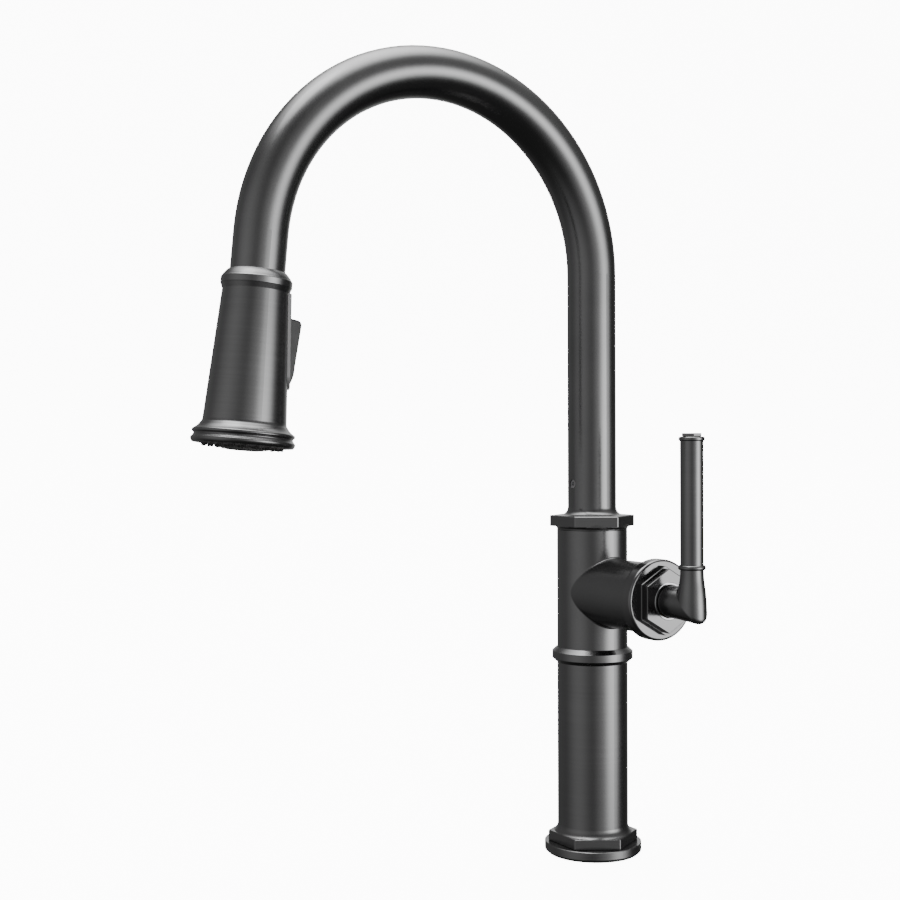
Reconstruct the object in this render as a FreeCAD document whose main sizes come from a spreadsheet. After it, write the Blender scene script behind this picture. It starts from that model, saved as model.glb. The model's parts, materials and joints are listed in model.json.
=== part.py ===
"""Pull-down kitchen faucet: column with side valve and lever, swivelling gooseneck, docked spray head.

Frame: millimetres, +Z up. The origin is on the deck, on the column's axis. The spout reaches
towards -Y (the user and the sink), and the valve and its lever stand out towards +X.
"""
import math
import os

import FreeCAD
import Part
import Sketcher
from FreeCAD import Placement, Rotation, Vector

# Driving dimensions in millimetres (angles in degrees); each one becomes a named cell of the sheet.
DIMENSIONS = {
    # gooseneck
    "neck_r": 14.0, "neck_bore": 12.8, "arc_r": 104.0, "arc_deg": 174.4, "straight_top": 334.0,
    "neck_bottom": 187.8, "tube_end": 22.0, "screw_level": 213.5, "screw_r": 2.5,
    # column
    "column_r": 20.35, "column_bore": 17.9, "joint_level": 114.7, "body_top": 186.9,
    "plate_r": 28.0, "plate_bottom": 0.8, "plate_top": 6.1, "gasket_r": 26.5, "block_r": 18.4,
    "foot_hex_r": 26.0, "foot_top": 12.0, "foot_fillet_top": 16.4, "foot_fillet_r": 5.6,
    "collar_r": 23.3, "collar_bottom": 110.2, "collar_band_low": 112.5, "collar_band_high": 116.6,
    "collar_top": 119.0, "coupling_wall": 1.5, "coupling_low": 104.0, "coupling_high": 125.0,
    # swivel at the top of the column
    "swivel_gap_top": 187.2, "hex_bottom": 188.9, "hex_top": 195.2, "top_hex_r": 24.64,
    "neck_fillet_r": 4.8, "spigot_r": 10.8, "spigot_bore": 6.0, "spigot_top": 226.0, "groove_r": 9.8,
    "bush_gap": 0.05, "lower_bush_low": 188.0, "lower_bush_high": 196.0, "upper_bush_low": 218.5,
    "upper_bush_high": 225.0, "screw_tip_r": 1.5, "screw_shoulder": 11.6, "screw_slot_r": 1.2,
    "screw_slot": 12.4, "screw_face": 13.4,
    # supply tubes and ports in the base block
    "tube_r": 3.5, "tube_bore": 2.9, "tube_top": 140.0, "port_circle": 12.0, "port_deg": 60.0,
    "thread_r": 4.5, "thread_depth": 6.5, "block_top": 12.0, "stud_r": 2.5, "stud_depth": 9.0,
    "tube_seat": 4.5, "hose_r": 4.75, "hose_way": 5.6, "hose_end": 9.0,
    # side valve, measured outwards from the column's axis
    "valve_level": 151.5, "branch_r": 19.5, "branch_bore": 17.1, "branch_end": 55.0,
    "nose_r": 18.6, "nose_end": 60.0, "waterway_r": 17.0, "waterway_in": 2.0, "cartridge_in": 36.0,
    "cover_r": 22.3, "cover_face": 63.1, "cover_step": 66.0, "cover_hex_face": 69.5,
    "cover_hex_big": 19.0, "cover_hex_small": 17.62, "cover_hole": 9.2, "cover_bore": 12.0,
    "cover_edge": 1.5, "pivot": 69.9,
    # cartridge inside the valve
    "seal_r": 4.2, "seal_height": 1.0, "cup_floor": 4.0, "cup_end": 54.5, "cup_bore": 14.5,
    "disc_r": 14.3, "disc_low": 40.0, "disc_high": 43.0, "sliding_r": 9.8, "sliding_high": 46.0,
    "hollow_r": 5.5, "hollow_low": 44.5, "carrier_r": 8.5, "carrier_high": 48.5, "rotor_r": 13.9,
    "rotor_low": 50.0, "rotor_high": 54.0, "snout_r": 4.8, "cap_bore": 9.5, "cap_end": 57.0,
    "nut_bore": 10.5, "nut_end": 59.8, "pin_r": 1.0, "pin_half": 4.0,
    # handle
    "hub_r": 8.75, "lever_x": 87.8, "rod_r": 6.15, "rod_top": 238.2, "flare_top": 163.0,
    "flare_r": 8.9, "elbow_bottom": 142.0, "lever_top": 242.4, "stem_end": 81.5, "stem_r": 3.4,
    "elbow_bore": 6.1, "rod_tail": 153.0, "ring_low": 170.0, "ring_middle": 171.2, "ring_high": 172.4,
    "corner_r": 14.2, "corner_level": 154.6, "handle_screw_r": 1.5, "handle_screw_end": 8.0,
    # spray head, measured along its own axis from the end of the gooseneck's arc
    "collar_start": 19.6, "shell_start": 29.6, "shell_end": 95.5, "head_end": 107.8,
    "head_collar_r": 18.1, "shell_r_top": 16.95, "shell_r_low": 21.1, "shell_wall": 1.6,
    "head_spigot_r": 9.2, "body_core_r": 13.6, "button_pivot": 58.0, "panel_rise": 1.25,
    "dock_gap": 0.4, "dock_start": 8.0, "dock_throat": 19.6, "dock_end": 21.6, "magnet_r": 12.2,
    "magnet_start": 12.0, "magnet_end": 16.0, "keeper_bore": 7.6, "nut_r": 7.8, "nut_start": 1.0,
    "core_start": 9.4, "core_bore": 5.4, "core_neck_end": 23.0, "core_seat_r": 13.0,
    "core_low_end": 97.0, "core_end": 105.4, "chamber_r": 7.0, "chamber_start": 34.0,
    "check_bore": 2.5, "check_start": 13.0, "check_end": 21.0,
    "button_pin_r": 1.0, "spool_r": 6.5, "spool_waist_r": 4.4, "spool_start": 45.0, "spool_end": 70.0,
    "nozzle_r": 0.95, "nozzle_end": 109.4, "aerator_r": 8.7, "aerator_end": 110.3,
}
CLEARANCE = 0.05                # round a pin or a blade that turns in its hole or slot
REACH = 60.0                    # half size of a block that only keeps one side of a shape

doc = FreeCAD.newDocument("faucet")
sheet = doc.addObject("Spreadsheet::Sheet", "sizes")
for row, (alias, value) in enumerate(DIMENSIONS.items(), start=1):
    sheet.set("A%d" % row, alias)
    sheet.set("B%d" % row, str(value))
    sheet.setAlias("B%d" % row, alias)
doc.recompute()

X_AXIS, Y_AXIS, Z_AXIS = Vector(1, 0, 0), Vector(0, 1, 0), Vector(0, 0, 1)
NODES = []


def measure(text):
    """The value of a sum such as 'column_r - 2', read from the sheet."""
    total, sign = 0.0, 1.0
    for word in str(text).split():
        if word in ("+", "-"):
            sign = 1.0 if word == "+" else -1.0
        else:
            total += sign * (float(sheet.get(word)) if word in DIMENSIONS else float(word))
    return total


def bound(text):
    """The same sum as an expression on the sheet's cells."""
    return " ".join("sizes." + word if word in DIMENSIONS else word for word in str(text).split())


def node(piece, label):
    """Marks a finished sub-part: its label names its file."""
    piece.Label = label
    NODES.append(piece)
    return piece


# Frames of the four groups of round pieces: each one's local Z is the axis they turn on.
ARC_ANGLE = math.radians(measure("arc_deg"))
ARC_END = Vector(
    0,
    -measure("arc_r") * (1 - math.cos(ARC_ANGLE)),
    measure("straight_top") + measure("arc_r") * math.sin(ARC_ANGLE),
)
COLUMN = Placement()
VALVE = Placement(Vector(0, 0, measure("valve_level")), Rotation(Y_AXIS, 90))
LEVER = Placement(Vector(measure("lever_x"), 0, 0), Rotation(Z_AXIS, 90))
HEAD = Placement(ARC_END, Rotation(X_AXIS, measure("arc_deg")))


# ---------------------------------------------------------------- sketched bodies

def origin_plane(body, role):
    return next(item for item in body.Origin.OriginFeatures if item.Role == role)


def new_body(name, at=COLUMN):
    body = doc.addObject("PartDesign::Body", name)
    body.Placement = at
    return body


def new_sketch(body, role, level="0"):
    sketch = body.newObject("Sketcher::SketchObject", body.Name + "_sketch")
    sketch.AttachmentSupport = [(origin_plane(body, role), "")]
    sketch.MapMode = "FlatFace"
    sketch.AttachmentOffset = Placement(Vector(0, 0, measure(level)), Rotation())
    sketch.setExpression(".AttachmentOffset.Base.z", bound(level))
    return sketch


def pin_point(sketch, edge, end, across, along):
    """Fixes one end of a sketch edge at (across, along), each bound to the sheet."""
    for kind, text, axis in (("DistanceX", across, -2), ("DistanceY", along, -1)):
        if str(text) == "0":
            sketch.addConstraint(Sketcher.Constraint("PointOnObject", edge, end, axis))
            continue
        index = sketch.addConstraint(Sketcher.Constraint(kind, -1, 1, edge, end, measure(text)))
        sketch.renameConstraint(index, "%s_%d" % (kind, index))
        sketch.setExpression("Constraints.%s_%d" % (kind, index), bound(text))


def add_arc(sketch, start, finish, radius, side):
    """An arc from start to finish with its centre on the given side; returns its two end numbers."""
    chord = finish - start
    left = Vector(-chord.y, chord.x, 0).normalize()
    reach = math.sqrt(measure(radius) ** 2 - chord.Length ** 2 / 4)
    centre = (start + finish) * 0.5 + left * (reach if side == "left" else -reach)
    first, last = (start, finish) if side == "left" else (finish, start)
    circle = Part.Circle(centre, Z_AXIS, measure(radius))
    angles = [math.atan2(point.y - centre.y, point.x - centre.x) for point in (first, last)]
    edge = sketch.addGeometry(Part.ArcOfCircle(circle, angles[0], angles[1]), False)
    index = sketch.addConstraint(Sketcher.Constraint("Radius", edge, measure(radius)))
    sketch.renameConstraint(index, "radius_%d" % index)
    sketch.setExpression("Constraints.radius_%d" % index, bound(radius))
    return (edge, 1, 2) if side == "left" else (edge, 2, 1)


def add_outline(sketch, outline):
    """A closed outline. A point is (across, along), with (radius, side) added if an arc leads to it."""
    points = [Vector(measure(item[0]), measure(item[1]), 0) for item in outline]
    edges = []
    for index, item in enumerate(outline):
        start, finish = points[index - 1], points[index]
        if len(item) == 4:
            edges.append(add_arc(sketch, start, finish, item[2], item[3]))
        else:
            edges.append((sketch.addGeometry(Part.LineSegment(start, finish), False), 1, 2))
    for index, (edge, _, end) in enumerate(edges):
        after, begin, _ = edges[(index + 1) % len(edges)]
        sketch.addConstraint(Sketcher.Constraint("Coincident", edge, end, after, begin))
        pin_point(sketch, edge, end, outline[index][0], outline[index][1])


def turn(body, outline):
    """Adds the outline (radius, height) turned about the body's Z axis."""
    sketch = new_sketch(body, "XZ_Plane")
    add_outline(sketch, outline)
    revolution = body.newObject("PartDesign::Revolution", body.Name + "_turn")
    revolution.Profile = sketch
    revolution.ReferenceAxis = (sketch, ["V_Axis"])
    revolution.Angle = 360
    doc.recompute()
    return body


def turned(label, outline, at=COLUMN):
    return node(turn(new_body(label, at), outline), label)


def ring(inner, outer, low, high):
    """Outline of a plain ring; an inner radius of 0 gives a disc."""
    return [(inner, low), (outer, low), (outer, high), (inner, high)]


def hexagon(body, radius, low, height, bevel=0.35, foot="-1"):
    """Pads a hexagon with corners on the body's X axis and bevels its edges above the level 'foot'."""
    sketch = new_sketch(body, "XY_Plane", low)
    corners = [Rotation(Z_AXIS, 60 * k).multVec(X_AXIS) * measure(radius) for k in range(6)]
    for k in range(6):
        sketch.addGeometry(Part.LineSegment(corners[k], corners[(k + 1) % 6]), False)
    circle = sketch.addGeometry(Part.Circle(Vector(), Z_AXIS, measure(radius)), True)
    sketch.addConstraint(Sketcher.Constraint("Coincident", circle, 3, -1, 1))
    for k in range(6):
        sketch.addConstraint(Sketcher.Constraint("Coincident", k, 2, (k + 1) % 6, 1))
        sketch.addConstraint(Sketcher.Constraint("PointOnObject", k, 1, circle))
    for k in range(1, 6):
        sketch.addConstraint(Sketcher.Constraint("Equal", 0, k))
    sketch.addConstraint(Sketcher.Constraint("PointOnObject", 0, 1, -1))
    index = sketch.addConstraint(Sketcher.Constraint("Radius", circle, measure(radius)))
    sketch.renameConstraint(index, "corner_radius")
    sketch.setExpression("Constraints.corner_radius", bound(radius))
    pad = body.newObject("PartDesign::Pad", body.Name + "_hexagon")
    pad.Profile = sketch
    pad.setExpression("Length", bound(height))
    doc.recompute()
    sharp = [number for number, edge in enumerate(pad.Shape.Edges, start=1)
             if edge.CenterOfMass.z > measure(foot) + 0.1
             and all(abs(math.hypot(end.X, end.Y) - measure(radius)) < 0.01 for end in edge.Vertexes)]
    chamfer = body.newObject("PartDesign::Chamfer", body.Name + "_bevel")
    chamfer.Base = (pad, ["Edge%d" % number for number in sharp])
    chamfer.Size = bevel
    doc.recompute()


def drill(body, radius, spots, high, depth):
    """Pockets round holes from the level 'high' down by 'depth'."""
    sketch = new_sketch(body, "XY_Plane", high)
    for spot in spots:
        index = sketch.addGeometry(Part.Circle(Vector(spot.x, spot.y, 0), Z_AXIS, measure(radius)), False)
        limit = sketch.addConstraint(Sketcher.Constraint("Radius", index, measure(radius)))
        sketch.renameConstraint(limit, "hole_%d" % index)
        sketch.setExpression("Constraints.hole_%d" % index, bound(radius))
    before = body.Shape.Volume
    pocket = body.newObject("PartDesign::Pocket", body.Name + "_holes")
    pocket.Profile = sketch
    pocket.setExpression("Length", bound(depth))
    doc.recompute()
    if body.Shape.Volume > before - 1:
        raise RuntimeError("the holes of %s cut nothing" % body.Name)


# ---------------------------------------------------------------- primitives and booleans

def cylinder(radius, low, high, at=COLUMN, across=Vector()):
    """A cylinder along the frame's Z, from low to high, moved sideways by 'across'."""
    piece = doc.addObject("Part::Cylinder", "cylinder")
    piece.setExpression("Radius", bound(radius))
    piece.Height = measure(high) - measure(low)
    piece.Placement = at.multiply(Placement(across + Vector(0, 0, measure(low)), Rotation()))
    return piece


def box(low, high, at=COLUMN):
    """A box between two corners, given in the frame 'at'."""
    piece = doc.addObject("Part::Box", "box")
    piece.Length, piece.Width, piece.Height = high.x - low.x, high.y - low.y, high.z - low.z
    piece.Placement = at.multiply(Placement(low, Rotation()))
    return piece


def cone(low_radius, high_radius, low, high, at=COLUMN):
    piece = doc.addObject("Part::Cone", "cone")
    piece.Radius1, piece.Radius2 = measure(low_radius), measure(high_radius)
    piece.Height = measure(high) - measure(low)
    piece.Placement = at.multiply(Placement(Vector(0, 0, measure(low)), Rotation()))
    return piece


def ball(radius, level, at=COLUMN):
    piece = doc.addObject("Part::Sphere", "ball")
    piece.setExpression("Radius", bound(radius))
    piece.Placement = at.multiply(Placement(Vector(0, 0, measure(level)), Rotation()))
    return piece


def combine(kind, pieces, name="shape"):
    """MultiFuse or MultiCommon of the pieces."""
    result = doc.addObject("Part::" + kind, name)
    result.Shapes = pieces
    doc.recompute()
    return result


def cut(base, tools, name="shape"):
    result = doc.addObject("Part::Cut", name)
    result.Base = base
    result.Tool = tools[0] if len(tools) == 1 else combine("MultiFuse", tools)
    doc.recompute()
    return result


def group(label, pieces):
    """Identical small pieces that share one node."""
    bundle = doc.addObject("Part::Compound", label)
    bundle.Links = pieces
    return node(bundle, label)


def bent_rod(radius, low, end):
    """A round rod up the column's axis, round the gooseneck's arc and straight on to 'end'."""
    torus = doc.addObject("Part::Torus", "bend")
    torus.setExpression("Radius1", bound("arc_r"))
    torus.setExpression("Radius2", bound(radius))
    torus.setExpression("Angle3", bound("arc_deg"))
    centre = Vector(0, -measure("arc_r"), measure("straight_top"))
    torus.Placement = Placement(centre, Rotation(Vector(1, 1, 1), 120))
    return [cylinder(radius, low, "straight_top"), torus, cylinder(radius, "0", end, HEAD)]


def polar(radius, degrees):
    return Rotation(Z_AXIS, degrees).multVec(X_AXIS) * measure(radius)


# ---------------------------------------------------------------- base and column

PORTS = [polar("port_circle", angle) for angle in (-measure("port_deg"), 0, measure("port_deg"))]
STUD_SPOT = polar("port_circle", 180)


def make_base():
    turned("deck_gasket", ring("block_r + 0.1", "gasket_r", "0", "plate_bottom"))
    turned("base_plate", [
        ("block_r + 0.1", "plate_bottom"), ("plate_r - 1", "plate_bottom"),
        ("plate_r", "plate_bottom + 1", "1", "left"), ("plate_r", "plate_top - 0.3"),
        ("plate_r - 0.3", "plate_top"), ("block_r + 0.1", "plate_top")])
    block = turn(new_body("base_block"), ring("hose_way", "block_r", "0", "block_top"))
    drill(block, "thread_r", PORTS, "thread_depth", "thread_depth")
    drill(block, "tube_bore", PORTS, "block_top", "block_top")
    drill(block, "tube_r", PORTS, "block_top", "tube_seat")
    drill(block, "stud_r", [STUD_SPOT], "stud_depth", "stud_depth")
    node(block, "base_block")


def make_column():
    foot = new_body("lower_column")
    hexagon(foot, "foot_hex_r", "plate_top", "foot_top - plate_top")
    turn(foot, [
        ("0", "plate_top"), ("foot_hex_r - 4", "plate_top"), ("foot_hex_r - 3.5", "foot_top"),
        ("column_r", "foot_fillet_top", "foot_fillet_r", "right"), ("column_r", "joint_level"),
        ("0", "joint_level")])
    drill(foot, "block_r", [Vector()], "foot_top", "foot_top - plate_top")
    drill(foot, "column_bore", [Vector()], "joint_level", "joint_level - foot_top")
    node(foot, "lower_column")
    turned("column_collar", [
        ("column_r", "collar_bottom"), ("column_r + 0.3", "collar_bottom"),
        ("collar_r", "collar_band_low"), ("collar_r", "collar_band_high"),
        ("column_r + 0.3", "collar_top"), ("column_r", "collar_top")])
    turned("column_coupling", ring("column_bore - coupling_wall", "column_bore", "coupling_low",
                                   "coupling_high"))
    for label, spot in zip(("cold_tube", "outlet_tube", "hot_tube"), PORTS):
        turned(label, ring("tube_bore", "tube_r", "block_top - tube_seat", "tube_top"),
               Placement(spot, Rotation()))


BRANCH_FILLET = 1.2             # where the branch meets the column


def make_valve_body():
    outside = combine("MultiFuse", [
        cylinder("column_r", "joint_level", "body_top"),
        cylinder("branch_r", "0", "branch_end", VALVE),
        cylinder("nose_r", "branch_end - 1", "nose_end", VALVE)], "valve_body_outside")
    rounded = doc.addObject("Part::Fillet", "valve_body_rounded")
    rounded.Base = outside
    meeting_curves = [number for number, edge in enumerate(outside.Shape.Edges, start=1)
                      if edge.Curve.TypeId not in ("Part::GeomCircle", "Part::GeomLine")]
    rounded.Edges = [(number, BRANCH_FILLET, BRANCH_FILLET) for number in meeting_curves]
    doc.recompute()
    body = cut(rounded, [
        cylinder("column_bore", "joint_level - 1", "body_top + 1"),
        cylinder("branch_bore", "0", "nose_end + 1", VALVE)], "valve_body_shape")
    node(body, "valve_body")


def make_swivel():
    """The brass spigot that the neck turns on, screwed into the top of the valve body."""
    turned("swivel_spigot", [
        ("spigot_bore", "body_top - 8"), ("column_bore", "body_top - 8"), ("column_bore", "body_top"),
        ("spigot_r", "body_top"), ("spigot_r", "screw_level - 2"), ("groove_r", "screw_level - 2"),
        ("groove_r", "screw_level + 2"), ("spigot_r", "screw_level + 2"), ("spigot_r", "spigot_top"),
        ("spigot_bore", "spigot_top")])
    turned("thrust_washer", ring("spigot_r + 0.3", "column_bore", "body_top", "swivel_gap_top"))


# ---------------------------------------------------------------- spout

def make_spout():
    hexagon_nut = new_body("spout_hex_collar")
    hexagon(hexagon_nut, "top_hex_r", "hex_bottom", "hex_top - hex_bottom")
    turn(hexagon_nut, [
        ("0", "swivel_gap_top"), ("column_r", "swivel_gap_top"),
        ("column_r + 1.7", "hex_bottom", "1.7", "right"), ("neck_r + neck_fillet_r", "hex_top"),
        ("neck_r", "hex_top + neck_fillet_r", "neck_fillet_r", "right"),
        ("0", "hex_top + neck_fillet_r")])
    drill(hexagon_nut, "neck_r", [Vector()], "hex_top + neck_fillet_r + 1", "30")
    node(hexagon_nut, "spout_hex_collar")

    screw_at = Placement(Vector(0, 0, measure("screw_level")), Rotation(X_AXIS, 90))
    hole = cylinder("screw_r", "groove_r", "neck_r + 6", screw_at)
    tube = cut(combine("MultiFuse", bent_rod("neck_r", "neck_bottom", "tube_end")),
               bent_rod("neck_bore", "neck_bottom - 1", "tube_end + 1") + [hole], "gooseneck_shape")
    node(tube, "gooseneck_tube")
    turned("lower_bush", ring("spigot_r + bush_gap", "neck_bore", "lower_bush_low", "lower_bush_high"))
    turned("upper_bush", ring("spigot_r + bush_gap", "neck_bore", "upper_bush_low", "upper_bush_high"))
    turned("neck_screw", [
        ("0", "groove_r + 0.3"), ("screw_tip_r", "groove_r + 0.3"), ("screw_tip_r", "screw_shoulder"),
        ("screw_r", "screw_shoulder + 0.6"), ("screw_r", "screw_face"), ("screw_slot_r", "screw_face"),
        ("screw_slot_r", "screw_slot"), ("0", "screw_slot")], screw_at)
    turned("docking_sleeve", [
        ("head_spigot_r + dock_gap", "dock_start"), ("neck_bore", "dock_start"),
        ("neck_bore", "dock_end"), ("head_spigot_r + dock_gap + 1", "dock_end"),
        ("head_spigot_r + dock_gap", "dock_throat"), ("head_spigot_r + dock_gap", "magnet_end"),
        ("magnet_r", "magnet_end"), ("magnet_r", "magnet_start"),
        ("head_spigot_r + dock_gap", "magnet_start")], HEAD)
    turned("docking_magnet", ring("head_spigot_r + dock_gap", "magnet_r", "magnet_start", "magnet_end"),
           HEAD)
    node(combine("MultiFuse", bent_rod("hose_r", "0", "hose_end"), "hose_shape"), "pull_out_hose")


# ---------------------------------------------------------------- valve and cartridge

BLADE, SNOUT_HALF, POST_HALF = 1.5, 2.6, 3.5    # half thicknesses inside the cartridge
TAIL = 13.0                                     # from the lever's pivot back to the disc's socket
TAIL_SLOT_HALF = 2.1                            # of the slot that the lever's round tail works in
DISC_OFFSET = 2.0                               # the sliding disc rests this far below the axis: closed
PORT_DROP, PORT_SQUEEZE = 7.0, 0.9              # the valve's ports: below its axis, and closer together


def make_cartridge():
    sockets = [cylinder("tube_r", "100", "tube_top", COLUMN, spot) for spot in PORTS]
    risers = [cylinder("tube_bore", "139", "145", COLUMN, spot) for spot in PORTS]
    spots = [Vector(PORT_DROP, spot.y * PORT_SQUEEZE, 0) for spot in PORTS]
    ways = [cylinder("tube_bore", str(port.x), "cartridge_in + 1", VALVE, spot)
            for port, spot in zip(PORTS, spots)]
    block = cut(cylinder("waterway_r", "waterway_in", "cartridge_in", VALVE),
                [cylinder("hose_way", "120", "180")] + sockets + risers + ways, "waterway_shape")
    node(block, "waterway_block")

    seals = [cut(cylinder("seal_r", "cartridge_in", "cartridge_in + seal_height", VALVE, spot),
                 [cylinder("tube_bore", "cartridge_in - 1", "cartridge_in + 2", VALVE, spot)])
             for spot in spots]
    group("cartridge_seals", seals)
    cup = turn(new_body("cartridge_body", VALVE), [
        ("0", "cartridge_in"), ("waterway_r", "cartridge_in"), ("waterway_r", "cup_end"),
        ("cup_bore", "cup_end"), ("cup_bore", "cartridge_in + cup_floor"),
        ("0", "cartridge_in + cup_floor")])
    drill(cup, "tube_bore", spots, "cartridge_in + cup_floor", "cup_floor")
    drill(cup, "seal_r", spots, "cartridge_in + seal_height", "seal_height")
    node(cup, "cartridge_body")
    disc = turn(new_body("fixed_disc", VALVE), ring("0", "disc_r", "disc_low", "disc_high"))
    drill(disc, "tube_bore", spots, "disc_high", "disc_high - disc_low")
    node(disc, "fixed_disc")

    make_sliding_disc()
    make_rotor()
    turned("cartridge_cap", ring("cap_bore", "waterway_r", "cup_end", "cap_end"), VALVE)
    turned("cartridge_nut", ring("nut_bore", "waterway_r", "cap_end", "nut_end"), VALVE)


def make_sliding_disc():
    """The disc that opens and closes the ports, and the carrier whose post the lever's tail pushes."""
    slid = VALVE.multiply(Placement(Vector(DISC_OFFSET, 0, 0), Rotation()))
    plate = turn(new_body("moving_disc", slid), ring("0", "sliding_r", "disc_high + 0.05", "sliding_high"))
    drill(plate, "hollow_r", [Vector()], "hollow_low", "hollow_low - disc_high - 0.1")
    node(plate, "moving_disc")
    post_low, post_high = measure("sliding_high") + 1, 59
    tail_slot = box(Vector(-TAIL_SLOT_HALF, -5, 54.3), Vector(TAIL_SLOT_HALF, 5, post_high + 3), VALVE)
    post = box(Vector(-POST_HALF, -BLADE, post_low), Vector(POST_HALF, BLADE, post_high), VALVE)
    carrier = cut(combine("MultiFuse", [cylinder("carrier_r", "sliding_high", "carrier_high", slid), post]),
                  [tail_slot], "disc_carrier_shape")
    node(carrier, "disc_carrier")


def make_rotor():
    """The turning plate of the cartridge, with the forked snout that holds the lever's pin."""
    low = measure("rotor_low")
    snout = combine("MultiCommon", [
        cylinder("snout_r", "rotor_low + 2", "pivot + 2.6", VALVE),
        box(Vector(-SNOUT_HALF, -9, low), Vector(SNOUT_HALF, 9, low + 30), VALVE)])
    blade_half = BLADE + 5 * CLEARANCE
    way = box(Vector(-8.2, -blade_half, low - 10), Vector(4.2, blade_half, low + 30), VALVE)
    whole = combine("MultiFuse", [cylinder("rotor_r", "rotor_low", "rotor_high", VALVE), snout])
    node(cut(whole, [way, pivot_rod(CLEARANCE)], "cartridge_rotor_shape"), "cartridge_rotor")


def pivot_rod(gap=0.0):
    """A rod along Y through the lever's pivot, wider than the pin by the gap."""
    return cylinder("pin_r + %s" % gap, "0 - pin_half", "pin_half", across_valve(0))


def across_valve(outwards):
    """A frame on the valve's axis at this distance outwards from the lever's pivot, its Z along -Y."""
    return Placement(Vector(measure("pivot") + outwards, 0, measure("valve_level")), Rotation(X_AXIS, 90))


def make_cover():
    cover = new_body("valve_cover", VALVE)
    hexagon(cover, "cover_hex_big", "cover_face - 1", "cover_step - cover_face + 1")
    hexagon(cover, "cover_hex_small", "cover_step - 1", "cover_hex_face - cover_step + 1",
            foot="cover_step")
    turn(cover, [
        ("0", "branch_end"), ("cover_r - cover_edge", "branch_end"),
        ("cover_r", "branch_end + cover_edge", "cover_edge", "left"),
        ("cover_r", "cover_face - cover_edge"),
        ("cover_r - cover_edge", "cover_face", "cover_edge", "left"), ("0", "cover_face")])
    drill(cover, "nose_r", [Vector()], "nose_end", "nose_end - branch_end")
    drill(cover, "cover_bore", [Vector()], "cover_hex_face - 1.5", "cover_hex_face - nose_end - 1.4")
    drill(cover, "cover_hole + 1", [Vector()], "cover_hex_face", "1.6")
    node(cover, "valve_cover")
    turned("cover_ring", [
        ("cover_hole", "cover_hex_face - 1.5"), ("cover_hole + 1", "cover_hex_face - 1.5"),
        ("cover_hole + 1", "cover_hex_face"), ("cover_hole + 0.75", "cover_hex_face + 0.3"),
        ("cover_hole", "cover_hex_face + 0.3")], VALVE)


# ---------------------------------------------------------------- handle

NECK_HALF = 1.2                 # half thickness of the neck behind the lever's round tail


def make_handle():
    make_cartridge_stem()
    make_elbow()
    make_lever()


def make_cartridge_stem():
    """The blade on the pivot pin: a round front in the elbow, and a tail with a round end in the disc."""
    pivot = measure("pivot")
    front = combine("MultiFuse", [
        box(Vector(-2.3, -BLADE, pivot - TAIL + 1), Vector(2.3, BLADE, pivot + 6), VALVE),
        cylinder("stem_r", "pivot + 4.3", "stem_end", VALVE)])
    tail_end = combine("MultiCommon", [
        cylinder("2", "-4", "4", across_valve(-TAIL)),
        box(Vector(-4, -BLADE, 40), Vector(4, BLADE, 80), VALVE)])
    low = pivot - TAIL
    neck = box(Vector(-NECK_HALF, -BLADE, low), Vector(NECK_HALF, BLADE, low + 4), VALVE)
    relief = [box(Vector(side, -5, low - 3), Vector(side + 2.8, 5, low + 4), VALVE)
              for side in (-NECK_HALF - 2.8, NECK_HALF)]
    stem = combine("MultiFuse", [cut(front, relief), neck, tail_end], "stem_shape")
    node(cut(stem, [pivot_rod()]), "cartridge_stem")
    node(pivot_rod(), "pivot_pin")


def make_elbow():
    """The handle's elbow: a round stem and a flared upright, mitred together with a soft lower corner."""
    lever_x, level = measure("lever_x"), measure("valve_level")
    mitre = Placement(Vector(lever_x, 0, level), Rotation(Y_AXIS, 45))
    inner_half = box(Vector(-REACH, -REACH, -REACH), Vector(REACH, REACH, 0), mitre)
    outer_half = box(Vector(-REACH, -REACH, 0), Vector(REACH, REACH, REACH), mitre)
    tube = combine("MultiCommon", [
        combine("MultiFuse", [cylinder("hub_r", "pivot", "110", VALVE), ball("hub_r", "pivot", VALVE)]),
        inner_half])
    flare = combine("MultiCommon", [
        cone("flare_r", "rod_r", "elbow_bottom", "flare_top", LEVER), outer_half])
    soft_corner = ball("corner_r", "corner_level", Placement(Vector(lever_x - 4.4, 0, 0), Rotation()))
    stem_side = box(Vector(0, -REACH, level - REACH), Vector(lever_x - 1, REACH, level + REACH))
    upper_side = box(Vector(0, -REACH, level + 0.5), Vector(2 * REACH, REACH, level + REACH))
    kept = combine("MultiFuse", [soft_corner, stem_side, upper_side])
    shape = combine("MultiCommon", [combine("MultiFuse", [tube, flare]), kept])
    screw_at = Placement(Vector(measure("pivot") + 8, 0, level), Rotation(X_AXIS, -90))
    hollow = [
        box(Vector(-20, -20, 40), Vector(20, 20, measure("pivot") - 4), VALVE),
        cylinder("elbow_bore", "pivot - 9", "pivot + 4.2", VALVE),
        cylinder("stem_r", "pivot", "stem_end", VALVE),
        cylinder("rod_r - 1", "rod_tail", "flare_top + 1", LEVER),
        cylinder("handle_screw_r", "0", "12", screw_at)]
    node(cut(shape, hollow, "elbow_shape"), "handle_elbow")
    turned("handle_screw", ring("0", "handle_screw_r", "stem_r", "handle_screw_end"), screw_at)


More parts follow.
